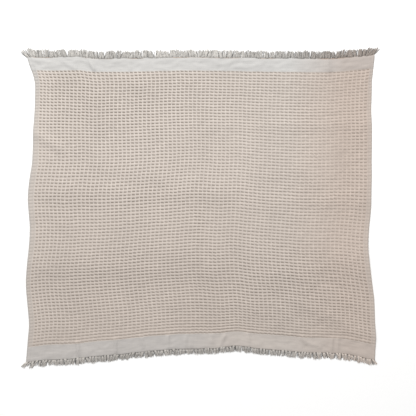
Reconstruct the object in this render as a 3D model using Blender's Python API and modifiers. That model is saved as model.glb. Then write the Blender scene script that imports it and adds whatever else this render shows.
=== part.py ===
"""Waffle weave cotton blanket, laid flat: one woven cloth with a fringe at each end.

Metres, +Z up. The cloth lies on z = 0 with its far end towards +Y, and the origin is on
that surface under the middle of the blanket, fringes included.
"""

import math
import random
from collections import namedtuple

import bmesh
import bpy
from mathutils import Vector

# The cloth, measured along its own threads before it is laid.
CLOTH_WIDTH = 1.500       # between the selvedges
CLOTH_LENGTH = 1.330      # along a selvedge, from end to end
CLOTH_THICKNESS = 0.003
NEAR_CORNERS_Y = -0.674   # where the near corners lie

# The fringe: the cloth's own warp threads in loose tufts, a comb along each end.
FRINGE_LENGTH = 0.030     # from the cloth's edge to the tip of an upright tuft
FRINGE_ROOT = 0.004       # depth of the comb's unbroken strip
FRINGE_GAP = 0.0004       # between the comb and the cloth
TUFT_PITCH = 0.014
TUFT_ROOT_WIDTH = 0.0105
TUFT_TIP_WIDTH = 0.0045
TUFT_LENGTH_SPREAD = 0.13 # how much longer or shorter a tuft is, as a share
TUFT_LEAN_SPREAD = 7.0    # degrees that one tuft leans more or less than its neighbours
FRINGE_SEEDS = {"far": 3, "near": 4}

# The grid that carries the folds.
COLUMNS = 42
ROWS = 34

CLOTH_COLOUR = (0.604, 0.527, 0.462)
FRINGE_COLOUR = (0.470, 0.450, 0.420)
COTTON_ROUGHNESS = 0.95

# The selvedges, from the near corner to the far one: how far each is drawn in.
Side = namedtuple("Side", "along left_in right_in")
SIDES = (
    Side(0.000, -0.004, -0.012),
    Side(0.100, 0.004, -0.016),
    Side(0.165, 0.009, -0.013),
    Side(0.274, 0.000, -0.009),
    Side(0.339, -0.004, 0.000),
    Side(0.404, 0.000, 0.009),
    Side(0.491, 0.009, 0.017),
    Side(0.578, 0.013, 0.013),
    Side(0.643, 0.008, 0.006),
    Side(0.709, 0.004, 0.004),
    Side(0.796, 0.012, 0.002),
    Side(0.861, 0.022, 0.002),
    Side(0.948, 0.026, 0.001),
    Side(1.017, 0.028, 0.001),
    Side(1.090, 0.033, 0.004),
    Side(1.150, 0.035, 0.002),
    Side(1.208, 0.035, 0.001),
    Side(1.238, 0.031, -0.002),
    Side(1.274, 0.017, -0.006),
    Side(1.330, 0.000, -0.011),
)

# The two ends, from the left corner to the right one: how far each is drawn in.
End = namedtuple("End", "across far_in near_in")
ENDS = (
    End(0.000, -0.002, 0.000),
    End(0.082, 0.000, 0.011),
    End(0.163, -0.002, 0.014),
    End(0.215, -0.003, 0.018),
    End(0.275, 0.004, 0.025),
    End(0.404, 0.005, 0.036),
    End(0.533, 0.002, 0.050),
    End(0.645, 0.000, 0.058),
    End(0.748, 0.000, 0.060),
    End(0.821, 0.001, 0.063),
    End(0.903, 0.002, 0.073),
    End(0.989, 0.003, 0.062),
    End(1.130, 0.004, 0.050),
    End(1.199, 0.005, 0.044),
    End(1.298, 0.006, 0.042),
    End(1.358, 0.002, 0.039),
    End(1.410, -0.002, 0.031),
    End(1.461, -0.007, 0.019),
    End(1.500, -0.013, 0.012),
)

# Soft folds, each a low ridge between two points on the surface.
Fold = namedtuple("Fold", "from_x from_y to_x to_y height half_width")
FOLDS = (
    Fold(0.003, 0.520, 0.003, 0.150, 0.0035, 0.030),      # storage fold down the middle
    Fold(-0.020, 0.120, -0.024, -0.360, 0.0030, 0.032),
    Fold(0.040, 0.352, 0.730, 0.358, 0.0030, 0.034),      # storage folds across
    Fold(-0.700, 0.070, 0.090, 0.060, 0.0034, 0.040),
    Fold(0.250, 0.020, 0.740, 0.030, 0.0036, 0.036),
    Fold(-0.720, -0.250, -0.330, -0.270, 0.0036, 0.045),
    Fold(-0.300, -0.262, 0.060, -0.290, 0.0032, 0.034),
    Fold(0.300, -0.300, 0.740, -0.260, 0.0034, 0.050),
    Fold(-0.760, 0.352, -0.610, 0.262, 0.0060, 0.030),    # tuck at the left selvedge
    Fold(-0.350, 0.560, -0.020, 0.440, 0.0032, 0.032),
    Fold(-0.560, 0.330, -0.330, 0.380, 0.0028, 0.045),
    Fold(-0.420, 0.190, -0.170, 0.110, 0.0028, 0.045),
    Fold(0.420, -0.400, 0.760, -0.560, 0.0062, 0.042),    # heavier fold at the near right
    Fold(0.560, -0.360, 0.640, -0.480, 0.0040, 0.036),
    Fold(-0.120, -0.410, 0.380, -0.440, 0.0030, 0.036),
)
FOLD_END_FADE = 0.040     # the folds die out this far from the fringes

# The tufts along the two fringes: the way they lean, in degrees from straight out and
# towards the right, and how far they reach, as a share of the fringe's length.
Tufts = namedtuple("Tufts", "across far_lean near_lean reach")
TUFTS = (
    Tufts(0.000, -50.0, -36.0, 1.30),
    Tufts(0.025, -30.0, -26.0, 1.15),
    Tufts(0.070, 8.0, -12.0, 1.00),
    Tufts(0.200, -10.0, 10.0, 1.05),
    Tufts(0.400, 6.0, -12.0, 0.95),
    Tufts(0.600, -8.0, 8.0, 1.00),
    Tufts(0.800, 8.0, -8.0, 1.00),
    Tufts(1.000, -6.0, 10.0, 0.95),
    Tufts(1.200, 10.0, -6.0, 1.00),
    Tufts(1.400, 12.0, 14.0, 1.05),
    Tufts(1.470, 26.0, 18.0, 1.05),
    Tufts(1.500, 46.0, 30.0, 1.15),
)


def smooth_column(rows, at, column):
    """Reads a table's column at a place between its rows, on a smooth curve."""
    places = [row[0] for row in rows]
    values = [getattr(row, column) for row in rows]
    at = min(max(at, places[0]), places[-1])
    i = max(k for k in range(len(rows) - 1) if places[k] <= at)

    def slope(k):
        low, high = max(k - 1, 0), min(k + 1, len(rows) - 1)
        return (values[high] - values[low]) / (places[high] - places[low])

    span = places[i + 1] - places[i]
    t = (at - places[i]) / span
    return (
        values[i] * (2 * t**3 - 3 * t**2 + 1)
        + values[i + 1] * (3 * t**2 - 2 * t**3)
        + slope(i) * span * (t**3 - 2 * t**2 + t)
        + slope(i + 1) * span * (t**3 - t**2)
    )


def laid(u, v):
    """A place in plan: u from 0 at the left to 1 at the right, v from near to far."""
    along, across = v * CLOTH_LENGTH, u * CLOTH_WIDTH
    left = smooth_column(SIDES, along, "left_in") - CLOTH_WIDTH / 2
    right = CLOTH_WIDTH / 2 - smooth_column(SIDES, along, "right_in")
    near = NEAR_CORNERS_Y + smooth_column(ENDS, across, "near_in")
    far = NEAR_CORNERS_Y + CLOTH_LENGTH - smooth_column(ENDS, across, "far_in")
    return Vector((left + (right - left) * u, near + (far - near) * v))


def fold_height(place):
    """How far the folds lift the cloth off the surface at a place."""
    height = 0.0
    for fold in FOLDS:
        start = Vector((fold.from_x, fold.from_y))
        along = Vector((fold.to_x, fold.to_y)) - start
        t = min(max((place - start).dot(along) / along.length_squared, 0), 1)
        off = (place - start - along * t).length / fold.half_width
        height = max(height, fold.height * math.exp(-off * off))
    return height


def cloth_point(u, v):
    """A point of the cloth's underside."""
    place = laid(u, v)
    from_end = min(v, 1 - v) * CLOTH_LENGTH
    fade = min(from_end / FOLD_END_FADE, 1)
    return Vector((place.x, place.y, fold_height(place) * fade * fade * (3 - 2 * fade)))


def cotton(name, colour):
    material = bpy.data.materials.new(name)
    material.use_nodes = True
    shader = material.node_tree.nodes["Principled BSDF"]
    shader.inputs["Base Color"].default_value = (*colour, 1)
    shader.inputs["Roughness"].default_value = COTTON_ROUGHNESS
    shader.inputs["Metallic"].default_value = 0
    return material


def make_cloth(collection):
    """The one-piece cloth: a grid laid on its folds, thickened upwards."""
    bm = bmesh.new()
    bmesh.ops.create_grid(bm, x_segments=COLUMNS, y_segments=ROWS, size=0.5)
    for vertex in bm.verts:
        vertex.co = cloth_point(vertex.co.x + 0.5, vertex.co.y + 0.5)
    mesh = bpy.data.meshes.new("cloth")
    bm.to_mesh(mesh)
    bm.free()
    cloth = bpy.data.objects.new("cloth", mesh)
    solidify = cloth.modifiers.new("thickness", "SOLIDIFY")
    solidify.thickness = CLOTH_THICKNESS
    solidify.offset = 1
    mesh.materials.append(cotton("cotton_cloth", CLOTH_COLOUR))
    collection.objects.link(cloth)


def comb_outline(end):
    """The flat outline of one end's fringe: its straight back, then its tufts."""
    v, out = (1, 1) if end == "far" else (0, -1)
    dice = random.Random(FRINGE_SEEDS[end])
    gap = Vector((0, out * FRINGE_GAP))
    back = [laid(column / COLUMNS, v) + gap for column in range(COLUMNS + 1)]
    teeth = []
    count = round(CLOTH_WIDTH / TUFT_PITCH)
    for k in range(count):
        u = (k + 0.5) / count
        lean = smooth_column(TUFTS, u * CLOTH_WIDTH, end + "_lean")
        lean = math.radians(lean + dice.uniform(-1, 1) * TUFT_LEAN_SPREAD)
        reach = smooth_column(TUFTS, u * CLOTH_WIDTH, "reach")
        reach += dice.uniform(-1, 1) * TUFT_LENGTH_SPREAD
        root = laid(u, v) + Vector((0, out * FRINGE_ROOT))
        way = Vector((math.sin(lean), out * math.cos(lean)))
        tip = root + (FRINGE_LENGTH - FRINGE_ROOT) * reach * way
        half_root = Vector((TUFT_ROOT_WIDTH / 2, 0))
        half_tip = TUFT_TIP_WIDTH / 2 * Vector((out * way.y, -out * way.x))
        teeth += [root - half_root, tip - half_tip, tip + half_tip, root + half_root]
    return back + teeth[::-1]


def make_fringe(collection, end):
    """One end's fringe: a comb as thick as the cloth, cut from one flat outline."""
    curve = bpy.data.curves.new("fringe_" + end, "CURVE")
    curve.dimensions = "2D"
    curve.fill_mode = "BOTH"
    curve.extrude = CLOTH_THICKNESS / 2
    outline = comb_outline(end)
    spline = curve.splines.new("POLY")
    spline.points.add(len(outline) - 1)
    for point, place in zip(spline.points, outline):
        point.co = (place.x, place.y, 0, 1)
    spline.use_cyclic_u = True
    fringe = bpy.data.objects.new("fringe_" + end, curve)
    fringe.location.z = CLOTH_THICKNESS / 2
    curve.materials.append(cotton("cotton_yarn_" + end, FRINGE_COLOUR))
    collection.objects.link(fringe)


def main():
    for thing in list(bpy.data.objects):
        bpy.data.objects.remove(thing)
    collection = bpy.data.collections.new("waffle_weave_blanket")
    bpy.context.scene.collection.children.link(collection)
    make_cloth(collection)
    for end in ("far", "near"):
        make_fringe(collection, end)


main()
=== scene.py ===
import math
from collections import namedtuple

import bpy
import numpy as np
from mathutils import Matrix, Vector


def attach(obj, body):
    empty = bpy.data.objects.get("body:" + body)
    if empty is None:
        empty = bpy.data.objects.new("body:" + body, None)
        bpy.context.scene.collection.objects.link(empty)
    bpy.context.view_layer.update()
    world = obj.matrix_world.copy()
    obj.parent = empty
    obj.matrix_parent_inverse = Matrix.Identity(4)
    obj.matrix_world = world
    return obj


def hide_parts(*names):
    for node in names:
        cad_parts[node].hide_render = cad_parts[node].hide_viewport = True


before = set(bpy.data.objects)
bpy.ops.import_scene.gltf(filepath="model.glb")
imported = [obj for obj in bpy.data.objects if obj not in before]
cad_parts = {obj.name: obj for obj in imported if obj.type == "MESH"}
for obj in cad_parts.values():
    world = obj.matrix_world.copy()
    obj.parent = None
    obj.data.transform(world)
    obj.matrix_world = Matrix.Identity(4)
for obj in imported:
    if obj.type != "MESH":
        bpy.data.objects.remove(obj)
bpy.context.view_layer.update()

# ------------------------------------------------------------------------------------------
# The cloth: one length of cotton in waffle weave, with a grey-white warp and a beige weft.
# It is woven in one piece with a plain band at each end and a plain selvedge down each side,
# then washed, which draws it in, and it lies here with the folds it was stored in.

CELLS_ACROSS = 80             # waffle cells, from selvedge to selvedge
CELLS_ALONG = 85              # and from the near band to the far one
FLAT_SIZE = (1.500, 1.330)
SELVEDGE_WIDTH = 0.018
NEAR_BAND_DEPTH = 0.064
FAR_BAND_DEPTH = 0.057
COLUMN_CROWDING = 0.055       # the cells are narrower near the left selvedge
COURSE_CROWDING = 0.048       # and shorter near both bands

PLAIN_THICKNESS = 0.0018      # of the bands, the selvedges and a cell's floor
WAFFLE_HEIGHT = 0.0041        # of a weft ridge over a cell's floor
WARP_RIDGE_SHARE = 0.98       # how high the warp ridges are at most beside the weft ones
WEFT_SLOPE = 0.30             # from a cell's middle line to a weft ridge's top, in cells
WARP_RIDGE_TOP = 0.10         # from a warp ridge's middle to the edge of its top
WARP_RIDGE_FOOT = 0.27        # and to its foot
SELVEDGE_RELIEF = 0.4         # how high the rows run on over the selvedges
UNEVENNESS = 0.54             # how much the ridges' height varies, as a share
RIGHT_UNEVENNESS = 0.7        # and how much more towards the right, as a share of that
BAND_COCKLE = 0.0080          # how far the plain bands cockle
FAR_COCKLE = 0.4              # and how much more at the far end, as a share of that
THREAD_WANDER = 0.0026        # how far the ridges stray from their line, cell by cell
CELL_SLANT = 0.0018           # how much nearer a cell's right side lies than its left, mostly
FAR_LEFT_SLANT = 1.2          # and how much more at the far left, as a share of that

# Where the mesh is cut, within one cell, one selvedge and one band.
CELL_CUTS_ACROSS = (WARP_RIDGE_TOP, WARP_RIDGE_FOOT, 1 - WARP_RIDGE_FOOT, 1 - WARP_RIDGE_TOP)
CELL_CUTS_ALONG = (0.5 - WEFT_SLOPE, 0.5, 0.5 + WEFT_SLOPE)
SELVEDGE_CUTS = 3
NEAR_BAND_CUTS = 11
FAR_BAND_CUTS = 9

# Places where the threads lie pulled aside, and how far.
Pull = namedtuple("Pull", "x y shift_x shift_y reach_x reach_y")
PULLS = (
    Pull(-0.420, 0.150, 0.014, 0.000, 0.520, 0.240),
    Pull(0.000, 0.600, 0.006, 0.000, 1.000, 0.100),
    Pull(0.400, -0.200, -0.004, 0.000, 0.450, 0.160),
    Pull(-0.450, -0.520, 0.007, 0.000, 0.450, 0.120),
    Pull(-0.650, -0.150, 0.005, 0.000, 0.120, 0.120),
    Pull(-0.720, -0.050, 0.000, 0.007, 0.100, 0.400),
    Pull(-0.500, 0.450, 0.000, -0.006, 0.070, 0.150),
    Pull(-0.010, -0.050, 0.000, 0.007, 0.080, 0.330),
    Pull(0.370, 0.250, 0.000, -0.006, 0.200, 0.300),
    Pull(0.560, -0.050, 0.000, -0.002, 0.250, 0.250),
    Pull(0.190, -0.400, 0.000, -0.010, 0.110, 0.130),
    Pull(0.620, -0.400, 0.000, -0.010, 0.160, 0.110),
    Pull(-0.400, -0.300, 0.002, 0.004, 0.450, 0.300),
    Pull(-0.090, 0.270, 0.004, 0.000, 0.120, 0.150),
    Pull(0.000, -0.320, 0.000, 0.002, 0.080, 0.120),
)

# Folds and creases: low soft ridges from one point of the cloth to another.
Crease = namedtuple("Crease", "from_x from_y to_x to_y height half_width")
CREASES = (
    Crease(0.003, 0.520, 0.003, 0.150, 0.0020, 0.022),
    Crease(-0.020, 0.120, -0.024, -0.360, 0.0020, 0.024),
    Crease(0.040, 0.352, 0.730, 0.358, 0.0020, 0.026),
    Crease(-0.700, 0.070, 0.090, 0.060, 0.0024, 0.036),
    Crease(0.250, 0.020, 0.740, 0.030, 0.0028, 0.036),
    Crease(-0.720, -0.250, -0.330, -0.270, 0.0026, 0.045),
    Crease(-0.300, -0.262, 0.060, -0.290, 0.0022, 0.030),
    Crease(0.300, -0.300, 0.740, -0.260, 0.0024, 0.050),
    Crease(-0.760, 0.352, -0.610, 0.262, 0.0055, 0.022),
    Crease(-0.350, 0.560, -0.020, 0.440, 0.0024, 0.028),
    Crease(-0.560, 0.330, -0.330, 0.380, 0.0020, 0.045),
    Crease(-0.420, 0.190, -0.170, 0.110, 0.0020, 0.045),
    Crease(0.420, -0.400, 0.760, -0.560, 0.0055, 0.036),
    Crease(0.560, -0.360, 0.640, -0.480, 0.0030, 0.036),
    Crease(-0.120, -0.410, 0.380, -0.440, 0.0024, 0.036),
    # in the far band, from the left
    Crease(-0.710, 0.644, -0.630, 0.630, 0.0046, 0.009),
    Crease(-0.680, 0.612, -0.600, 0.626, 0.0040, 0.009),
    Crease(-0.600, 0.640, -0.540, 0.606, 0.0040, 0.009),
    Crease(-0.488, 0.660, -0.459, 0.602, 0.0085, 0.008),
    Crease(-0.378, 0.641, -0.369, 0.637, 0.0057, 0.007),
    Crease(-0.304, 0.655, -0.300, 0.604, 0.0034, 0.010),
    Crease(0.080, 0.622, 0.200, 0.645, 0.0034, 0.012),
    Crease(0.150, 0.612, 0.260, 0.620, 0.0029, 0.012),
    Crease(0.552, 0.656, 0.560, 0.600, 0.0062, 0.014),
    # in the near band, from the left
    Crease(-0.530, -0.584, -0.524, -0.640, 0.0085, 0.008),
    Crease(-0.366, -0.572, -0.364, -0.630, 0.0075, 0.008),
    Crease(-0.252, -0.565, -0.238, -0.622, 0.0060, 0.009),
    Crease(-0.136, -0.556, -0.138, -0.610, 0.0060, 0.008),
    Crease(-0.058, -0.556, -0.062, -0.608, 0.0040, 0.009),
    Crease(-0.034, -0.556, -0.036, -0.606, 0.0034, 0.009),
    Crease(0.054, -0.552, 0.052, -0.604, 0.0040, 0.009),
    Crease(0.108, -0.556, 0.088, -0.600, 0.0062, 0.009),
    Crease(0.211, -0.548, 0.213, -0.596, 0.0052, 0.010),
    Crease(0.446, -0.561, 0.463, -0.587, 0.0052, 0.009),
    Crease(0.463, -0.587, 0.524, -0.604, 0.0052, 0.009),
    Crease(0.576, -0.570, 0.574, -0.632, 0.0052, 0.008),
    Crease(0.600, -0.570, 0.600, -0.636, 0.0052, 0.008),
)
# Two broad swells right across the cloth, where it was folded in three.
SWELLS = (
    Crease(-0.780, 0.120, 0.780, 0.120, 0.0020, 0.070),
    Crease(-0.780, -0.207, 0.780, -0.207, 0.0058, 0.105),
)
FOLD_END_FADE = 0.040         # the folds are flatter this near to the cloth's ends
FOLD_AT_END = 0.3             # and this share of their height is left there

# Spots where the cells lie flatter than around them, or less flat, counted in cells.
Spot = namedtuple("Spot", "cell_x cell_y reach_x reach_y flatter")
SPOTS = (
    Spot(16.0, 74.0, 18.0, 14.0, -0.15),
    Spot(7.5, 81.0, 5.0, 4.0, -0.12),
    Spot(40.0, 44.5, 60.0, 3.5, -0.13),
    Spot(18.0, 31.5, 18.0, 5.0, 0.10),
    Spot(5.0, 25.0, 7.0, 6.0, 0.15),
    Spot(12.0, 3.0, 14.0, 5.0, 0.14),
    Spot(40.3, 36.0, 1.2, 6.0, -0.22),
    Spot(70.0, 24.0, 9.0, 7.0, -0.13),
    Spot(58.0, 74.0, 4.0, 8.0, 0.08),
    Spot(71.0, 78.0, 12.0, 9.0, 0.10),
    Spot(73.0, 57.0, 3.0, 6.0, 0.28),
    Spot(77.5, 60.0, 2.0, 13.0, -0.25),
    Spot(70.0, 46.0, 8.0, 6.0, -0.13),
    Spot(58.0, 5.0, 9.0, 5.0, 0.20),
    Spot(71.0, 12.0, 5.0, 5.0, -0.14),
    Spot(65.0, 70.0, 3.0, 3.0, -0.25),
)

# How much flatter the cells lie in each zone of the cloth than they were woven, added up.
SLACK = {
    "left": 0.15,
    "from the middle": 0.16,
    "right": 0.28,
    "halfway along": 0.12,
    "near left": 0.20,
    "near band": 0.14,
    "near right": -0.13,
}
# How much lower the warp ridges are in each zone, beside the weft ones, added up too.
WARP_DROP = {
    "right": 0.38,
    "right edge": -0.20,
    "near band": 0.50,
    "near half": 0.20,
    "near right": -0.16,
}


def smooth_line(at, places, values):
    """Reads a smooth curve through some places."""
    slopes = np.gradient(values, places)
    i = np.clip(np.searchsorted(places, at) - 1, 0, len(places) - 2)
    span = places[i + 1] - places[i]
    t = np.clip((at - places[i]) / span, 0, 1)
    return (
        values[i] * (2 * t**3 - 3 * t**2 + 1)
        + values[i + 1] * (3 * t**2 - 2 * t**3)
        + slopes[i] * span * (t**3 - 2 * t**2 + t)
        + slopes[i + 1] * span * (t**3 - t**2)
    )


DOWN = Vector((0, 0, -1))


def packed_edge(facing):
    """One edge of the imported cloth's back: where it lies, by the share of the way along it."""
    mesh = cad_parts["cloth"].data

    def corners(way):
        faces = [face for face in mesh.polygons if face.normal.dot(way) > math.cos(math.radians(45))]
        return {tuple(mesh.vertices[v].co) for face in faces for v in face.vertices}

    line = np.array(sorted(corners(facing) & corners(DOWN), key=lambda point: point[not facing.y]))
    places, values = (line[:, 1], line[:, 0]) if facing.x else (line[:, 0], line[:, 1])
    return (places - places[0]) / (places[-1] - places[0]), values


LEFT, RIGHT = packed_edge(Vector((-1, 0, 0))), packed_edge(Vector((1, 0, 0)))
NEAR, FAR = packed_edge(Vector((0, -1, 0))), packed_edge(Vector((0, 1, 0)))


def lay(cell_x, cell_y):
    """Where a point of the cloth lies. It is counted in cells, and a band or selvedge is one more."""
    field_x = np.clip(cell_x, 0, CELLS_ACROSS)
    share = field_x / CELLS_ACROSS
    share = share - COLUMN_CROWDING * share**0.7 * (1 - share) ** 2
    selvedge = SELVEDGE_WIDTH / FLAT_SIZE[0]
    u = selvedge + (1 - 2 * selvedge) * share + selvedge * (cell_x - field_x)
    near, far = smooth_line(u, *NEAR), smooth_line(u, *FAR)
    field_y = np.clip(cell_y, 0, CELLS_ALONG)
    share = field_y / CELLS_ALONG
    share = share - COURSE_CROWDING / (2 * np.pi) * np.sin(2 * np.pi * share)
    field_depth = far - near - NEAR_BAND_DEPTH - FAR_BAND_DEPTH
    into_band = np.where(cell_y < 0, NEAR_BAND_DEPTH, FAR_BAND_DEPTH) * (cell_y - field_y)
    y = near + NEAR_BAND_DEPTH + field_depth * share + into_band
    v = (y - near) / (far - near)
    left, right = smooth_line(v, *LEFT), smooth_line(v, *RIGHT)
    x = left + (right - left) * u
    give_x = np.clip(np.minimum(u, 1 - u) / selvedge, 0, 1)
    give_y = np.clip(np.minimum(y - near, far - y) / FAR_BAND_DEPTH, 0, 1)
    for pull in PULLS:
        off = ((x - pull.x) / pull.reach_x) ** 2 + ((y - pull.y) / pull.reach_y) ** 2
        x = x + pull.shift_x * give_x * np.exp(-off)
        y = y + pull.shift_y * give_y * np.exp(-off)
    return x, y, np.minimum(y - near, far - y)


def ridge_height(crease, x, y):
    """How high one crease stands at a point."""
    way_x, way_y = crease.to_x - crease.from_x, crease.to_y - crease.from_y
    along = (x - crease.from_x) * way_x + (y - crease.from_y) * way_y
    t = np.clip(along / (way_x**2 + way_y**2), 0, 1)
    off_x, off_y = x - crease.from_x - t * way_x, y - crease.from_y - t * way_y
    return crease.height * np.exp(-(off_x**2 + off_y**2) / crease.half_width**2)


def crease_lift(x, y, from_end):
    """How far the folds hold the cloth off the surface."""
    swell = np.max([ridge_height(swell, x, y) for swell in SWELLS], axis=0)
    lift = swell + np.max([ridge_height(crease, x, y) for crease in CREASES], axis=0)
    return lift * np.clip(FOLD_AT_END + (1 - FOLD_AT_END) * from_end / FOLD_END_FADE, 0, 1)


def mesh_cuts(count, cuts, before, after):
    """The cuts in one direction, counted in cells, and which of them the back keeps."""
    cells = [cell + cut for cell in range(count) for cut in cuts]
    first = [-1 + k / before for k in range(before + 1)]
    last = [count + k / after for k in range(after + 1)]
    kept = [0, *range(before, before + len(cells) + 1, len(cuts)), before + len(cells) + after + 1]
    return np.array(first + cells + last), kept


cuts_across, kept_across = mesh_cuts(CELLS_ACROSS, CELL_CUTS_ACROSS, SELVEDGE_CUTS, SELVEDGE_CUTS)
cuts_along, kept_along = mesh_cuts(CELLS_ALONG, CELL_CUTS_ALONG, NEAR_BAND_CUTS, FAR_BAND_CUTS)
grid_x, grid_y = (grid.ravel() for grid in np.meshgrid(cuts_across, cuts_along))
wide, deep = len(cuts_across), len(cuts_along)
x, y, from_end = lay(grid_x, grid_y)
lift = crease_lift(x, y, from_end)
face_points = np.stack([x, y, lift + PLAIN_THICKNESS], axis=1)

# The face has every cut. The back, which lies on the surface, has one cut a cell, and every
# cut again along its rim, where it is joined to the face.
faces = [
    (i, i + 1, i + 1 + wide, i + wide)
    for row in range(deep - 1)
    for i in range(row * wide, row * wide + wide - 1)
]
rim = (
    [(0, c) for c in range(wide - 1)]
    + [(r, wide - 1) for r in range(deep - 1)]
    + [(deep - 1, c) for c in range(wide - 1, 0, -1)]
    + [(r, 0) for r in range(deep - 1, 0, -1)]
)
on_rim = set(rim)
inner = [(r, c) for r in kept_along[1:-1] for c in kept_across[1:-1]]
back_of = {spot: len(face_points) + n for n, spot in enumerate(rim + inner)}
over = np.array([r * wide + c for r, c in rim + inner])
back_points = np.stack([x[over], y[over], lift[over]], axis=1)
for (r, c), (r2, c2) in zip(rim, rim[1:] + rim[:1]):
    faces.append((back_of[r, c], back_of[r2, c2], r2 * wide + c2, r * wide + c))
for r, r2 in zip(kept_along, kept_along[1:]):
    for c, c2 in zip(kept_across, kept_across[1:]):
        outline = [(k, c) for k in range(r, r2)] + [(r2, k) for k in range(c, c2)]
        outline += [(k, c2) for k in range(r2, r, -1)] + [(r, k) for k in range(c2, c, -1)]
        corners = {(r, c), (r2, c), (r2, c2), (r, c2)}
        faces.append([back_of[spot] for spot in outline if spot in corners or spot in on_rim])

mesh = bpy.data.meshes.new("waffle_cloth")
mesh.from_pydata(np.concatenate([face_points, back_points]).tolist(), [], faces)
on_face = np.concatenate([np.ones(len(face_points)), np.zeros(len(back_points))])
cells = [np.concatenate([counted, counted[over]]) for counted in (grid_x, grid_y)]
threads = mesh.attributes.new("threads", "FLOAT_VECTOR", "POINT")
threads.data.foreach_set("vector", np.stack([*cells, on_face], axis=1).ravel())
waffle_cloth = bpy.data.objects.new("waffle_cloth", mesh)
bpy.context.scene.collection.objects.link(waffle_cloth)

# The map that the finish is baked on: the face has most of it, and the back the rest.
FACE_ON_MAP = np.array([[0.004, 0.004], [0.996, 0.780]])
BACK_ON_MAP = np.array([[0.004, 0.790], [0.996, 0.996]])
RIM_ON_MAP = 0.003
corner_points = np.zeros(len(mesh.loops), dtype=int)
mesh.loops.foreach_get("vertex_index", corner_points)
plan = np.concatenate([face_points, back_points])[:, :2]
plan = (plan - plan.min(axis=0)) / (plan.max(axis=0) - plan.min(axis=0))
plan = plan[corner_points]
baked = FACE_ON_MAP[0] + plan * (FACE_ON_MAP[1] - FACE_ON_MAP[0])
outward = (plan - 0.5) / np.abs(plan - 0.5).max(axis=1, keepdims=True)
baked[on_face[corner_points] == 0] += outward[on_face[corner_points] == 0] * RIM_ON_MAP
first_back_corner = 4 * ((wide - 1) * (deep - 1) + len(rim))
back_plan = plan[first_back_corner:]
baked[first_back_corner:] = BACK_ON_MAP[0] + back_plan * (BACK_ON_MAP[1] - BACK_ON_MAP[0])
mesh.uv_layers.new(name="OFBake").data.foreach_set("uv", baked.ravel())


class Thread:
    """One socket of a node tree, so that sums and products of sockets read as Python."""

    def __init__(self, loom, socket):
        self.loom, self.socket = loom, socket

    def maths(self, operation, *values):
        return self.loom.add("ShaderNodeMath", {"operation": operation}, dict(enumerate(values)))

    def __add__(self, other):
        return self.maths("ADD", self, other)

    def __sub__(self, other):
        return self.maths("SUBTRACT", self, other)

    def __rsub__(self, other):
        return self.maths("SUBTRACT", other, self)

    def __mul__(self, other):
        return self.maths("MULTIPLY", self, other)

    def __truediv__(self, other):
        return self.maths("DIVIDE", self, other)

    def __pow__(self, other):
        return self.maths("POWER", self, other)

    __radd__, __rmul__ = __add__, __mul__

    def at_least(self, other):
        return self.maths("MAXIMUM", self, other)

    def at_most(self, other):
        return self.maths("MINIMUM", self, other)

    def held(self):
        """Kept from 0 to 1."""
        return self.at_least(0.0).at_most(1.0)

    def part(self):
        """What is left when whole numbers are taken away."""
        return self.maths("FRACT", self)

    def whole(self):
        return self.maths("FLOOR", self)

    def size(self):
        return self.maths("ABSOLUTE", self)

    def fading(self):
        """1 at nothing, fading away as the value grows."""
        return self.maths("EXPONENT", self * -1.0)

    def output(self, name):
        return Thread(self.loom, self.socket.node.outputs[name])

    def axes(self):
        split = self.loom.add("ShaderNodeSeparateXYZ", sockets={0: self})
        return split.output("X"), split.output("Y"), split.output("Z")


class Loom:
    """A node tree, of a material or of a shape, and the one way of adding a node to it."""

    def __init__(self, tree):
        self.tree = tree

    def add(self, kind, settings=None, sockets=None):
        node = self.tree.nodes.new(kind)
        for name, value in (settings or {}).items():
            setattr(node, name, value)
        for name, value in (sockets or {}).items():
            self.fill(node.inputs[name], value)
        return Thread(self, node.outputs[0]) if node.outputs else None

    def fill(self, socket, value):
        if isinstance(value, Thread):
            self.tree.links.new(value.socket, socket)
        elif socket.type == "RGBA":
            socket.default_value = (*value, 1)
        else:
            socket.default_value = value

    def vector(self, x, y, z):
        return self.add("ShaderNodeCombineXYZ", sockets={0: x, 1: y, 2: z})

    def noise(self, place, scale, detail=2.0):
        """Soft noise, mostly from 0.3 to 0.7."""
        return self.add("ShaderNodeTexNoise", sockets={
            "Vector": place, "Scale": scale, "Detail": detail,
        })

    def kept(self, name):
        """A vector that is kept on the points of the shape being made."""
        return self.add("GeometryNodeInputNamedAttribute", {"data_type": "FLOAT_VECTOR"}, {
            "Name": name,
        })

    def blend(self, share, first, second):
        """One colour turning into another."""
        return self.add("ShaderNodeMix", {"data_type": "RGBA"}, {
            "Factor": share, 6: first, 7: second,
        }).output(2)


def waffle(cell_x, cell_y):
    """The ridges of the waffle weave, from 0 on a cell's floor to 1: the weft's and the warp's."""
    weft_ridge = ((cell_y.part() - 0.5).size() / WEFT_SLOPE).held()
    to_ridge = 0.5 - (cell_x.part() - 0.5).size()
    warp_ridge = ((WARP_RIDGE_FOOT - to_ridge) / (WARP_RIDGE_FOOT - WARP_RIDGE_TOP)).held()
    return weft_ridge, warp_ridge


def from_rim(cell_x, cell_y):
    """How many cells in from the selvedges, and in from the bands."""
    return cell_x.at_most(CELLS_ACROSS - cell_x), cell_y.at_most(CELLS_ALONG - cell_y)


def relief_left(off_selvedge):
    """How much of the waffle is left, from little on a selvedge to all of it off the selvedge."""
    return SELVEDGE_RELIEF + (1 - SELVEDGE_RELIEF) * off_selvedge


def ramp(value, start, end):
    """0 up to the start, 1 from the end, and evenly between."""
    return ((value - start) / (end - start)).held()


def rightwards(cell_x, start, end):
    """0 up to one share of the way across the field, 1 from another, and evenly between."""
    return ramp(cell_x, start * CELLS_ACROSS, end * CELLS_ACROSS)


def farwards(cell_y, start, end):
    """The same along the field, from the near band to the far one."""
    return ramp(cell_y, start * CELLS_ALONG, end * CELLS_ALONG)


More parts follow.
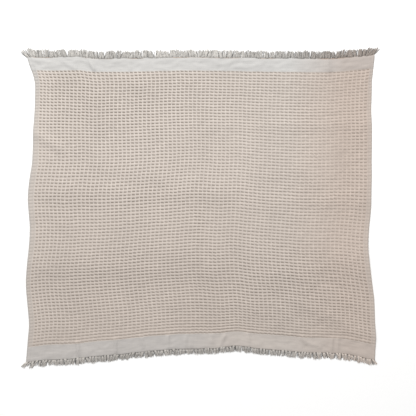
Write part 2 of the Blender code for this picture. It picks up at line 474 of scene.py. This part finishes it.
def new_shape(name, sizes):
    """Starts a Geometry Nodes tree that takes these sizes as named inputs."""
    tree = bpy.data.node_groups.new(name, "GeometryNodeTree")
    tree.interface.new_socket("Geometry", in_out="OUTPUT", socket_type="NodeSocketGeometry")
    tree.interface.new_socket("Geometry", in_out="INPUT", socket_type="NodeSocketGeometry")
    kinds = {int: "NodeSocketInt", float: "NodeSocketFloat", bpy.types.Material: "NodeSocketMaterial"}
    for size, value in sizes.items():
        tree.interface.new_socket(size, in_out="INPUT", socket_type=kinds[type(value)])
    loom = Loom(tree)
    return loom, loom.add("NodeGroupInput")


def make_shape(piece, loom, given, geometry, sizes):
    """Ends a tree, runs it on a piece with its sizes, and leaves the piece a plain mesh."""
    one_piece = loom.add("GeometryNodeRealizeInstances", sockets={"Geometry": geometry})
    finished = loom.add("GeometryNodeSetMaterial", sockets={
        "Geometry": one_piece, "Material": given.output("finish"),
    })
    loom.add("NodeGroupOutput", sockets={"Geometry": finished})
    modifier = piece.modifiers.new(loom.tree.name, "NODES")
    modifier.node_group = loom.tree
    for item in loom.tree.interface.items_tree:
        if item.in_out == "INPUT" and item.name in sizes:
            modifier[item.identifier] = sizes[item.name]
    made = piece.evaluated_get(bpy.context.evaluated_depsgraph_get())
    piece.data = bpy.data.meshes.new_from_object(made)
    piece.modifiers.clear()
    piece.data.name = piece.name


def new_finish(name):
    """Starts a material, and returns its tree and its shader."""
    material = bpy.data.materials.new(name)
    material.use_nodes = True
    return material, Loom(material.node_tree), material.node_tree.nodes["Principled BSDF"]


WEFT_BEIGE = (0.638, 0.573, 0.519)
WARP_GREY = (0.551, 0.542, 0.528)
# painted shade in the cells' pits, much darker than the yarn itself
SHADED_CELL_FLOOR = (0.220, 0.185, 0.155)
SELVEDGE_BEIGE = (0.595, 0.553, 0.512)
EDGE_PICK_TAN = (0.420, 0.350, 0.300)
WARM_SHADE = (0.873, 0.788, 0.745)  # painted warm shade: the yarns warmer and darker towards the right and near edges
WARM_SHADE_NEAR = 0.45              # how much of that painted shade the near end has
WARM_SHADE_RIGHT = 1.05             # and the right selvedge, at the far end
WARM_SHADE_CORNER = 0.6             # and how much less the right adds at the near end
WARM_SHADE_FIELD = 0.7              # how much of its painted warm shade the waffle field shows
WARP_SHOWN = 0.4              # how much of the warp's grey shows on the ridges between cells
FLAT_CELLS_LESS_SHADED = 0.5        # how much less painted shade the floors of flatter cells have
NEAR_BAND_BEIGE = 0.7         # how beige the near band's weft is at the right
LEFT_EDGE_GREY = 0.7          # how much of its beige the left selvedge lacks at its very edge
COTTON_ROUGHNESS = 0.92
COTTON_SHEEN = 0.15
FIBRE_STRENGTH = 0.5
WEAVE_FIBRE_DEPTH = 0.0006

# How light the cotton is, and how much lighter or darker it is in each place: some places by its own
# tone, and some by painted light and shade.
PLAIN_SHADE = 0.795
LIGHTER = {
    "weft fibres": 0.10,
    "warp fibres": 0.10,
    "patches": 0.16,
    "painted highlights where ridges cross": 0.10,
    "slubs": 0.25,
    "bands": 0.02,
    "beige weft": 0.04,
    "right selvedge": 0.04,
    "painted shade in selvedge grooves": -0.045,
    "far rows": -0.025,
    "painted shade at frayed ends": -0.30,
    "near left": -0.035,
    "flat spots": -0.20,
    "left edge": -0.05,
}


def near_right(cell_x, cell_y):
    """1 at the near right, where the cells were pressed less flat, and 0 away from it."""
    return (1 - farwards(cell_y, 0.26, 0.38)) * rightwards(cell_x, 0.45, 0.75)


def pressed(cell_x, cell_y):
    """How much flatter than around them the cells lie, in the spots."""
    flatter = 0.0
    for spot in SPOTS:
        off_x, off_y = (cell_x - spot.cell_x) / spot.reach_x, (cell_y - spot.cell_y) / spot.reach_y
        flatter = flatter + (off_x * off_x + off_y * off_y).fading() * spot.flatter
    return flatter


def slack(cell_x, cell_y):
    """How much flatter the cells lie than they were woven, as a share of a ridge's height."""
    zones = {
        "left": 1 - rightwards(cell_x, 0.0, 0.06),
        "from the middle": rightwards(cell_x, 0.35, 0.65),
        "right": rightwards(cell_x, 0.76, 0.88),
        "halfway along": farwards(cell_y, 0.26, 0.38) * (1 - farwards(cell_y, 0.72, 0.84)),
        "near left": (1 - rightwards(cell_x, 0.35, 0.60)) * (1 - farwards(cell_y, 0.10, 0.32)),
        "near band": 1 - ramp(cell_y, 1.0, 5.0),
        "near right": near_right(cell_x, cell_y),
    }
    return sum(zone * SLACK[name] for name, zone in zones.items()) + pressed(cell_x, cell_y)


def warp_share(cell_x, cell_y):
    """How high the warp ridges are beside the weft ones: least at the right and near band."""
    left_half = ramp(cell_x, 4.0, 9.0) * (1 - rightwards(cell_x, 0.50, 0.70))
    zones = {
        "right": rightwards(cell_x, 0.35, 0.80),
        "right edge": rightwards(cell_x, 0.90, 0.96),
        "near band": 1 - ramp(cell_y, 0.5, 5.0),
        "near half": (1 - farwards(cell_y, 0.42, 0.55)) * left_half,
        "near right": near_right(cell_x, cell_y),
    }
    return WARP_RIDGE_SHARE - sum(zone * WARP_DROP[name] for name, zone in zones.items())


def warm_shade_share(cell_x, near):
    """How much painted warm shade the yarns have, towards the right selvedge and the near end."""
    return near * WARM_SHADE_NEAR + rightwards(cell_x, 0.76, 0.93) * (WARM_SHADE_RIGHT - WARM_SHADE_CORNER * near)


def finish_cotton(loom, shader, plain_colour, warm_shade_amount, shade, fibres, fibre_depth):
    """Gives cotton its painted warm shade, its lighter and darker places, some of them painted light
    and shade, its fine relief and its dull soft surface.
    """
    warm_shade_mix = loom.blend(warm_shade_amount, (1.0, 1.0, 1.0), WARM_SHADE)
    warm_shaded = loom.add("ShaderNodeVectorMath", {"operation": "MULTIPLY"}, {0: plain_colour, 1: warm_shade_mix})
    colour = loom.add("ShaderNodeVectorMath", {"operation": "SCALE"}, {0: warm_shaded, "Scale": shade})
    bump = loom.add("ShaderNodeBump", sockets={
        "Strength": FIBRE_STRENGTH, "Distance": fibre_depth, "Height": fibres,
    })
    loom.fill(shader.inputs["Base Color"], colour)
    loom.fill(shader.inputs["Normal"], bump)
    loom.fill(shader.inputs["Roughness"], COTTON_ROUGHNESS)
    loom.fill(shader.inputs["Sheen Weight"], COTTON_SHEEN)


waffle_cotton, loom, shader = new_finish("waffle_cotton")
threads = loom.add("ShaderNodeAttribute", {"attribute_name": "threads"}).output("Vector")
cell_x, cell_y, _ = threads.axes()
weft_ridge, warp_ridge = waffle(cell_x, cell_y)
from_side, from_band = from_rim(cell_x, cell_y)
off_selvedge, off_band = ramp(from_side, -0.1, 0.1), ramp(from_band, 0.0, 0.2)
in_band, near = 1 - off_band, 1 - farwards(cell_y, 0.0, 1.0)
# painted highlights, here and there, on the tops where the weft and warp ridges cross
crossing_highlight = weft_ridge * warp_ridge * ramp(loom.noise(threads, 1.3), 0.45, 0.62)
warp_ridge = warp_ridge * warp_share(cell_x, cell_y)
height = weft_ridge.at_least(warp_ridge)
weft_fibres = loom.noise(loom.vector(cell_x * 0.5, cell_y * 6.0, 0.0), 1.0, 3.0)
warp_fibres = loom.noise(loom.vector(cell_x * 8.0, cell_y * 0.5, 0.0), 1.0, 3.0)
slub = loom.noise(loom.vector(cell_x * 0.35, cell_y * 9.0, 4.0), 1.0, 3.0)

# In the field a cell's floor is painted dark, as painted shade in its pit, less so in flatter cells,
# and the grey warp shows on the ridges between cells.
less_shaded = slack(cell_x, cell_y) * FLAT_CELLS_LESS_SHADED
cell_colour_and_shade = loom.blend((height + less_shaded).held(), SHADED_CELL_FLOOR, WEFT_BEIGE)
field_colour = loom.blend(warp_ridge * (1 - weft_ridge) * WARP_SHOWN, cell_colour_and_shade, WARP_GREY)

# The far band ends in tan picks here and there, and the near one has a beige weft at the
# right. The selvedges are beige too, but turn grey close to the far band.
at_far_edge = ramp(from_band, -0.90, -0.96) * ramp(cell_y, 0, 1)
edge_pick = ramp(loom.noise(threads, 0.16), 0.48, 0.60) * at_far_edge
band_colour = loom.blend(edge_pick, WARP_GREY, EDGE_PICK_TAN)
beige_weft = rightwards(cell_x, 0.45, 0.60) * near * NEAR_BAND_BEIGE
left_edge = ramp(cell_x, -0.62, -0.80)
beige_selvedge = off_band * off_selvedge.at_least(ramp(CELLS_ALONG - cell_y, 0.0, 9.0))
beige = beige_selvedge.at_least(beige_weft) * (1 - LEFT_EDGE_GREY * left_edge)
plain_colour = loom.blend(beige, band_colour, SELVEDGE_BEIGE)
waffle_shown = relief_left(off_selvedge) * ramp(from_band, 0.22, 0.38)
woven = loom.blend(waffle_shown, plain_colour, field_colour)

ragged_edge = from_band - loom.noise(loom.vector(cell_x * 1.1, 0.0, 7.0), 1.0, 2.0) * 0.22
streaks = ramp(loom.noise(loom.vector(cell_x * 5.0, cell_y * 2.0, 2.0), 1.0, 2.0), 0.40, 0.62)
places = {
    "weft fibres": weft_fibres,
    "warp fibres": warp_fibres,
    "patches": loom.noise(threads, 0.11, 3.0),
    "painted highlights where ridges cross": crossing_highlight * waffle_shown,
    "slubs": (slub - 0.5) * in_band,
    "bands": in_band,
    "beige weft": beige_weft * in_band,
    "right selvedge": ramp(cell_x, CELLS_ACROSS - 0.1, CELLS_ACROSS + 0.1),
    # painted shade in the grooves beside the selvedges
    "painted shade in selvedge grooves": 1 - ramp((from_side + 0.2).size(), 0.05, 0.25),
    "far rows": farwards(cell_y, 0.86, 0.93) * off_band,
    # painted shade in streaks along the frayed ends of the bands
    "painted shade at frayed ends": ramp(ragged_edge, -1.02, -1.10) * streaks,
    "near left": (1 - rightwards(cell_x, 0.08, 0.28)) * near * off_band,
    "flat spots": pressed(cell_x, cell_y) * off_band,
    "left edge": left_edge,
}
shade = PLAIN_SHADE + sum(place * LIGHTER[name] for name, place in places.items())
# painted warm shade, towards the right and the near end, weaker in the field
warm_shade_amount = warm_shade_share(cell_x, near) * (in_band + WARM_SHADE_FIELD * off_band)
fibres = weft_fibres * weft_ridge + warp_fibres
finish_cotton(loom, shader, woven, warm_shade_amount, shade, fibres, WEAVE_FIBRE_DEPTH)

# The waffle is raised on the laid cloth, a little unevenly, as the threads shrank. The rim
# keeps a crisp edge: its faces are the ones that lie half on the face and half on the back.
RIM_IS_WITHIN = 0.25
sizes = {
    "height": WAFFLE_HEIGHT,
    "unevenness": UNEVENNESS,
    "right unevenness": RIGHT_UNEVENNESS,
    "cockle": BAND_COCKLE,
    "far cockle": FAR_COCKLE,
    "wander": THREAD_WANDER,
    "slant": CELL_SLANT,
    "far left slant": FAR_LEFT_SLANT,
    "finish": waffle_cotton,
}
loom, given = new_shape("waffle", sizes)
threads = loom.kept("threads")
cell_x, cell_y, on_face = threads.axes()
weft_ridge, warp_ridge = waffle(cell_x, cell_y)
from_side, from_band = from_rim(cell_x, cell_y)
off_selvedge, off_band = ramp(from_side, -0.25, 0.25), ramp(from_band, -0.25, 0.25)
in_field = off_band * off_selvedge

# The ridges' height.
warp_ridge = warp_ridge * warp_share(cell_x, cell_y)
more = 1 + given.output("right unevenness") * rightwards(cell_x, 0.60, 0.80)
by_chance = loom.noise(threads, 0.6, 3.0) * 2 - 1
uneven = 1 + given.output("unevenness") * more * by_chance - slack(cell_x, cell_y)
ridges = weft_ridge.at_least(warp_ridge) * uneven * relief_left(off_selvedge)
raised = ridges * given.output("height")

# The bands cockle in long low waves that run along the weft and drift as they go.
drift = loom.noise(loom.vector(cell_x * 0.15, 0.0, 3.0), 1.0) * 4
cockle = loom.noise(loom.vector(cell_x * 0.35, cell_y * 2.8 + drift, cell_x * 0.1), 1.0)
cockle = (cockle - 0.3).at_least(0.0) * ramp(from_band, -1.0, -0.8) * given.output("cockle")
cockle = cockle * (1 + given.output("far cockle") * farwards(cell_y, 0.0, 1.0))

# The ridges stray from their lines, and the cells slant, some not at all and some twice over.
stray_x, stray_y, _ = loom.noise(threads, 0.37).output("Color").axes()
wander = given.output("wander") * in_field
far_left = (1 - rightwards(cell_x, 0.15, 0.25)) * farwards(cell_y, 0.80, 0.90)
slanted = loom.noise(threads, 0.21, 3.0) * 6 - 2 + far_left * given.output("far left slant")
slant = given.output("slant") * (0.5 - cell_x.part()) * slanted * in_field
raised_cloth = loom.add("GeometryNodeSetPosition", sockets={
    "Geometry": given.output("Geometry"),
    "Offset": loom.vector(
        (stray_x * 2 - 1) * wander,
        (stray_y * 2 - 1) * wander + slant,
        (cockle + (raised - cockle) * off_band) * on_face,
    ),
})
rounded = loom.add("GeometryNodeSetShadeSmooth", sockets={
    "Geometry": raised_cloth, "Selection": (on_face - 0.5).size() - RIM_IS_WITHIN,
})
make_shape(waffle_cloth, loom, given, rounded, sizes)

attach(waffle_cloth, "root")
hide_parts("cloth")

# ------------------------------------------------------------------------------------------
# The two fringes: the cloth's own warp yarns, left unwoven past its frayed ends. They leave
# the weave a little inside its edge, lie in fat soft tufts with a few loose yarns under each,
# and fan out at the corners.

TUFTS = 112
YARNS_IN_A_TUFT = 12
LOOSE_YARNS = 5               # of them, the ones that lie under the tuft
TUFT_SPREAD = {"far": 0.82, "near": 0.68}  # of a tuft at its root, as a share of the tufts' pitch
LOOSE_SPREAD = 1.50           # and of the loose yarns
TUFT_SPLAY = 0.09             # how much the outer yarns of a tuft lean away from its middle
TUFT_HEIGHT = 0.0034          # how far the middle of a tuft lies over its sides
YARN_LENGTH = {"far": 0.031, "near": 0.0225}
YARN_THICKNESS = 0.0027
YARN_SIDES = 5
YARN_POINTS = 9
YARN_START = -0.02            # a little before its root, as a share of a yarn's length
ROOT_THICKNESS = 0.6          # of a yarn where it leaves the weave, as a share
TIP_THINNER = 0.35            # and how much thinner it is at its tip
FRAYED_DEPTH = {"far": 0.0035, "near": 0.0052}  # how far inside the edge a yarn may start
CLIMB = 0.003                 # and how far inside it has to start to lie right on the band
TUFT_SWAY = 0.0060            # how far a tuft waves from side to side
KINK = 0.0036                 # and a yarn within it
TANGLE = {"far": 1.5, "near": 1.7}  # how much the tufts and the yarns lean by chance
LOOSE_SHORTER = 0.08          # of the loose yarns, as a share of a yarn's length
LOOSE_DARKNESS = {"far": 0.95, "near": 1.10}  # how much of its tone a loose yarn loses, in shade
NEAR_WARM_SHADE = {"far": 0.0, "near": 0.5}  # how much of the near end's painted warm shade the yarns have
FRINGE_SEEDS = {"far": 3, "near": 4}

# What differs by chance between the tufts and between the yarns: the least and the most.
TUFT_CHANCE = {
    "aside": (-0.20, 0.20),   # along the edge, as a share of the tufts' pitch
    "spread": (0.75, 1.30),   # times the usual spread
    "depth": (-0.35, 0.75),   # as a share of the frayed depth
    "lean": (-0.20, 0.20),    # in radians, times the tangle
    "reach": (-0.13, 0.13),   # as a share of a yarn's length
    "luck": (0.0, 0.5),       # how light it is by chance
}
YARN_CHANCE = {
    "depth": (0.0, 0.25),
    "lean": (-0.10, 0.10),
    "reach": (-0.18, 0.06),
    "luck": (0.0, 0.5),
}

# The way the tufts lean, in degrees from straight out and towards the right, how far they
# reach, as a share of a yarn's length, and how light they are beside the plain bands.
Tuft = namedtuple("Tuft", "across far_lean near_lean reach far_light near_light")
TUFT_TABLE = (
    Tuft(0.000, -46.0, -42.0, 1.28, 1.06, 1.08),
    Tuft(0.025, -38.0, -34.0, 1.20, 1.06, 1.06),
    Tuft(0.060, -22.0, -20.0, 1.10, 1.04, 1.04),
    Tuft(0.110, -8.0, -8.0, 1.02, 1.02, 1.02),
    Tuft(0.250, -6.0, 8.0, 1.05, 1.04, 0.98),
    Tuft(0.400, 6.0, -10.0, 1.03, 0.94, 0.90),
    Tuft(0.600, -8.0, 8.0, 1.00, 1.03, 0.94),
    Tuft(0.800, 8.0, -8.0, 1.00, 1.11, 0.93),
    Tuft(1.000, -6.0, 10.0, 0.99, 0.92, 0.91),
    Tuft(1.200, 10.0, -6.0, 1.04, 0.79, 1.03),
    Tuft(1.380, 12.0, 14.0, 1.07, 0.72, 1.32),
    Tuft(1.470, 26.0, 20.0, 1.08, 0.76, 1.36),
    Tuft(1.500, 46.0, 32.0, 1.15, 0.76, 1.36),
)

YARN_GREY = (0.578, 0.558, 0.528)
YARN_IN_SHADE = 0.22          # how light a yarn is at a tone of 0
TONE_LIGHTER = 0.78           # how much lighter its tone makes it
SPECKS_LIGHTER = 0.20         # and its specks
SPECKS_SCALE = 900.0          # specks of about a millimetre
YARN_FIBRE_DEPTH = 0.0004

# A yarn's tone: what each one has, the painted light that lying at the top of a tuft adds to it, and
# what luck adds.
TONE = {"least": 0.40, "painted light atop the tuft": 0.25, "luck": 0.45}

fringe_yarn, loom, shader = new_finish("fringe_yarn")
yarn = loom.add("ShaderNodeAttribute", {"attribute_name": "yarn"}).output("Vector")
tone, warm_shade_amount, light = yarn.axes()
specks = loom.noise(loom.add("ShaderNodeTexCoord").output("Object"), SPECKS_SCALE)
shade = (YARN_IN_SHADE + tone * TONE_LIGHTER + specks * SPECKS_LIGHTER) * light
finish_cotton(loom, shader, YARN_GREY, warm_shade_amount, shade, specks, YARN_FIBRE_DEPTH)


def fringe_shape(sizes):
    """The tree that grows a fringe's yarns from a line along the cloth's edge."""
    loom, given = new_shape("fringe", sizes)

    def chance(number, limits, draw):
        """A value within limits, by chance, and the same wherever the number is the same."""
        return loom.add("FunctionNodeRandomValue", sockets={
            2: limits[0], 3: limits[1], "ID": number, "Seed": given.output("seed") * 10 + draw,
        }).output(1)

    def spread(number, count):
        """Where one of a row of yarns lies, from -0.5 at the left to 0.5 at the right."""
        return (number + 0.5) / count - 0.5

    # Which tuft a yarn is in, and where along the edge it starts.
    in_tuft, loose = given.output("yarns in a tuft"), given.output("loose yarns")
    index = loom.add("GeometryNodeInputIndex")
    tuft = ((index + 0.5) / in_tuft).whole()
    number = index - tuft * in_tuft
    is_loose = ramp(loose - number, 0.0, 1.0)
    in_middle = spread(number - loose, in_tuft - loose)
    from_middle = in_middle + (spread(number, loose) - in_middle) * is_loose
    width = given.output("tuft spread")
    width = width + (given.output("loose spread") - width) * is_loose
    width = width * chance(tuft, TUFT_CHANCE["spread"], 8)
    aside = chance(tuft, TUFT_CHANCE["aside"], 6)
    along = ((tuft + 0.5 + aside + from_middle * width) / given.output("tufts")).held()
    line = loom.add("GeometryNodeMeshToCurve", sockets={"Mesh": given.output("Geometry")})
    root = loom.add("GeometryNodeSampleCurve", {"data_type": "FLOAT_VECTOR"}, {
        "Curves": line, "Value": loom.kept("turn, reach and light"), "Factor": along,
    })
    turn, reach, light = root.output(0).axes()
    inside = chance(tuft, TUFT_CHANCE["depth"], 9) + chance(index, YARN_CHANCE["depth"], 10)
    inside = given.output("frayed depth") * inside.held()
    roots = loom.add("GeometryNodePoints", sockets={
        "Count": given.output("tufts") * in_tuft,
        "Position": loom.add("ShaderNodeVectorMath", {"operation": "ADD"}, {
            0: root.output("Position"), 1: loom.vector(0.0, inside * given.output("inwards"), 0.0),
        }),
    })

    # Which way it points, and how long it is.
    tangle = chance(tuft, TUFT_CHANCE["lean"], 1) + chance(index, YARN_CHANCE["lean"], 2)
    turn = turn + from_middle * 2 * given.output("splay") + tangle * given.output("tangle")
    reach = reach + chance(tuft, TUFT_CHANCE["reach"], 3) + chance(index, YARN_CHANCE["reach"], 4)
    reach = reach - given.output("loose shorter") * is_loose + inside / given.output("length")
    yarn = loom.add("GeometryNodeResampleCurve", sockets={
        "Curve": loom.add("GeometryNodeCurvePrimitiveLine", sockets={
            "Start": (0, YARN_START, 0), "End": (0, 1, 0),
        }),
        "Count": given.output("points in a yarn"),
    })
    yarns = loom.add("GeometryNodeInstanceOnPoints", sockets={
        "Points": roots,
        "Instance": yarn,
        "Rotation": loom.add("FunctionNodeEulerToRotation", sockets={0: loom.vector(0.0, 0.0, turn)}),
        "Scale": loom.vector(1.0, given.output("length") * reach, 1.0),
    })

    # What it keeps: its number, its tuft's and how near its tuft's top it lies, how far
    # inside the edge it starts, and for its finish its tone, its share of painted warm shade and its
    # tuft's light.
    # painted light on the yarns at the top of a tuft, and painted shade on the loose yarns under it
    upper = (1 - (from_middle * 2) ** 2.0) * (1 - is_loose)
    luck = chance(index, YARN_CHANCE["luck"], 5) + chance(tuft, TUFT_CHANCE["luck"], 7)
    tone = TONE["least"] + upper * TONE["painted light atop the tuft"] + luck * TONE["luck"]
    tone = tone * (1 - given.output("loose darkness") * is_loose)
    # the yarns' painted warm shade, as on the cloth beside them
    warm_shade_amount = warm_shade_share(along * CELLS_ACROSS, given.output("near warm shade"))
    facts = {
        "number, tuft and upper": loom.vector(index, tuft, upper),
        "inside": loom.vector(inside, 0.0, 0.0),
        "yarn": loom.vector(tone, warm_shade_amount, light),
    }
    for name, fact in facts.items():
        yarns = loom.add("GeometryNodeStoreNamedAttribute", {
            "data_type": "FLOAT_VECTOR", "domain": "INSTANCE",
        }, {"Geometry": yarns, "Name": name, "Value": fact})
    yarns = loom.add("GeometryNodeRealizeInstances", sockets={"Geometry": yarns})

    # How it lies along its own way, from its root to its tip: the tufts sway, the yarns kink
    # within them, and one that starts on the band comes down over the cloth's edge.
    number, tuft, upper = loom.kept("number, tuft and upper").axes()
    inside, _, _ = loom.kept("inside").axes()
    way = loom.add("GeometryNodeSplineParameter")
    tuft_noise = loom.noise(loom.vector(tuft * 7.7, way * 1.6, 0.0), 1.0).output("Color")
    yarn_noise = loom.noise(loom.vector(number * 5.3, way * 5.0, 9.0), 1.0).output("Color")
    sway_x, sway_y, sway_z = tuft_noise.axes()
    kink_x, kink_y, _ = yarn_noise.axes()
    freedom = way ** 0.7
    tuft_sway, kink = given.output("tuft sway") * freedom, given.output("kink") * freedom
    grown = ramp(way, 0.0, 0.22)
    fullness = given.output("root thickness")
    fullness = fullness + (1 - fullness) * grown
    on_band = ramp(inside, 0.0, given.output("climb")) * (1 - ramp(way, 0.15, 0.55))
    crown = upper * given.output("tuft height") * (0.5 + sway_z) * (1 - 0.5 * way ** 2.0) * grown
    over_band = on_band * given.output("cloth thickness")
    yarns = loom.add("GeometryNodeSetPosition", sockets={
        "Geometry": yarns,
        "Offset": loom.vector(
            (sway_x - 0.5) * tuft_sway * 2 + (kink_x - 0.5) * kink * 2,
            (sway_y - 0.5) * tuft_sway + (kink_y - 0.5) * kink,
            0.5 * given.output("thickness") * fullness + crown + over_band,
        ),
    })
    round_yarns = loom.add("GeometryNodeCurveToMesh", sockets={
        "Curve": yarns,
        "Profile Curve": loom.add("GeometryNodeCurvePrimitiveCircle", sockets={
            "Resolution": given.output("sides"), "Radius": 0.5 * given.output("thickness"),
        }),
        "Scale": fullness * (1 - given.output("tip thinner") * way ** 2.0),
        "Fill Caps": True,
    })
    rounded = loom.add("GeometryNodeSetShadeSmooth", sockets={"Geometry": round_yarns})
    return loom, given, rounded


def read_tufts(across, column):
    """Reads a column of the table of tufts between its rows."""
    places = np.array([tuft.across for tuft in TUFT_TABLE])
    return smooth_line(across, places, np.array([getattr(tuft, column) for tuft in TUFT_TABLE]))


for end, cells_y, straight, side in (("far", CELLS_ALONG + 1, 0.0, -1), ("near", -1, math.pi, 1)):
    line_x, line_y, _ = lay(cuts_across, np.full(wide, cells_y))
    across = (cuts_across + 1) / (CELLS_ACROSS + 2) * FLAT_SIZE[0]
    turn = straight + side * np.radians(read_tufts(across, end + "_lean"))
    reach, light = read_tufts(across, "reach"), read_tufts(across, end + "_light")
    mesh = bpy.data.meshes.new("fringe_line")
    points = np.stack([line_x, line_y, np.zeros(wide)], axis=1)
    mesh.from_pydata(points.tolist(), [(i, i + 1) for i in range(wide - 1)], [])
    tufts = mesh.attributes.new("turn, reach and light", "FLOAT_VECTOR", "POINT")
    tufts.data.foreach_set("vector", np.stack([turn, reach, light], axis=1).ravel())
    fringe = bpy.data.objects.new("yarn_fringe_" + end, mesh)
    bpy.context.scene.collection.objects.link(fringe)
    sizes = {
        "tufts": TUFTS,
        "yarns in a tuft": YARNS_IN_A_TUFT,
        "loose yarns": LOOSE_YARNS,
        "points in a yarn": YARN_POINTS,
        "sides": YARN_SIDES,
        "seed": FRINGE_SEEDS[end],
        "tuft spread": TUFT_SPREAD[end],
        "loose spread": LOOSE_SPREAD,
        "splay": side * TUFT_SPLAY,
        "tuft height": TUFT_HEIGHT,
        "tuft sway": TUFT_SWAY,
        "length": YARN_LENGTH[end],
        "loose shorter": LOOSE_SHORTER,
        "thickness": YARN_THICKNESS,
        "root thickness": ROOT_THICKNESS,
        "tip thinner": TIP_THINNER,
        "frayed depth": FRAYED_DEPTH[end],
        "inwards": float(side),
        "climb": CLIMB,
        "cloth thickness": PLAIN_THICKNESS,
        "kink": KINK,
        "tangle": TANGLE[end],
        "loose darkness": LOOSE_DARKNESS[end],
        "near warm shade": NEAR_WARM_SHADE[end],
        "finish": fringe_yarn,
    }
    loom, given, yarns = fringe_shape(sizes)
    make_shape(fringe, loom, given, yarns, sizes)
    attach(fringe, "root")
    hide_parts("fringe_" + end)

# ------------------------------------------------------------------------------------------
# The studio: a wide pale floor that the blanket lies on, one broad soft light past its far
# left corner, even light from all round, and a camera straight above.

FLOOR_SIZE = 300.0
FLOOR_WHITE = (0.93, 0.93, 0.93)
FLOOR_GLOW = 0.15
FLOOR_ROUGHNESS = 0.9
SOFT_LIGHT_PLACE = (-1.0, 4.0, 4.0)
SOFT_LIGHT_SIZE = 2.5
SOFT_LIGHT_POWER = 262.0
SOFT_LIGHT_COLOUR = (1.0, 0.99, 0.975)
FILL_COLOUR = (1.0, 1.0, 1.0)
FILL_STRENGTH = 0.55
SKY_SEEN = 0.65               # as light as the floor far away, so that no horizon shows
CAMERA_LENS = 85.0
CAMERA_SENSOR = 36.0
SHOWN_WIDTH = 1.8088
CAMERA_X = 0.0370

mesh = bpy.data.meshes.new("floor")
half = FLOOR_SIZE / 2
corners = [(-half, -half, 0), (half, -half, 0), (half, half, 0), (-half, half, 0)]
mesh.from_pydata(corners, [], [(0, 1, 2, 3)])
floor = bpy.data.objects.new("floor", mesh)
floor_paint, loom, shader = new_finish("floor_paint")
loom.fill(shader.inputs["Base Color"], FLOOR_WHITE)
loom.fill(shader.inputs["Roughness"], FLOOR_ROUGHNESS)
loom.fill(shader.inputs["Emission Color"], FLOOR_WHITE)
loom.fill(shader.inputs["Emission Strength"], FLOOR_GLOW)
mesh.materials.append(floor_paint)
bpy.context.scene.collection.objects.link(floor)

lamp = bpy.data.lights.new("soft_light", "AREA")
lamp.shape = "SQUARE"
lamp.size = SOFT_LIGHT_SIZE
lamp.energy = SOFT_LIGHT_POWER
lamp.color = SOFT_LIGHT_COLOUR
soft_light = bpy.data.objects.new("soft_light", lamp)
soft_light.location = SOFT_LIGHT_PLACE
soft_light.rotation_euler = Vector(SOFT_LIGHT_PLACE).to_track_quat("Z", "Y").to_euler()
bpy.context.scene.collection.objects.link(soft_light)

world = bpy.data.worlds.new("studio")
world.use_nodes = True
loom = Loom(world.node_tree)
seen = loom.add("ShaderNodeLightPath").output("Is Camera Ray")
background = world.node_tree.nodes["Background"]
loom.fill(background.inputs["Color"], FILL_COLOUR)
loom.fill(background.inputs["Strength"], FILL_STRENGTH + (SKY_SEEN - FILL_STRENGTH) * seen)
bpy.context.scene.world = world
bpy.context.scene.view_settings.view_transform = "Standard"

lens = bpy.data.cameras.new("camera")
lens.lens = CAMERA_LENS
lens.sensor_width = CAMERA_SENSOR
lens.clip_end = 2 * FLOOR_SIZE
camera = bpy.data.objects.new("camera", lens)
camera.location = (CAMERA_X, 0, SHOWN_WIDTH * CAMERA_LENS / CAMERA_SENSOR)
bpy.context.scene.collection.objects.link(camera)
bpy.context.scene.camera = camera
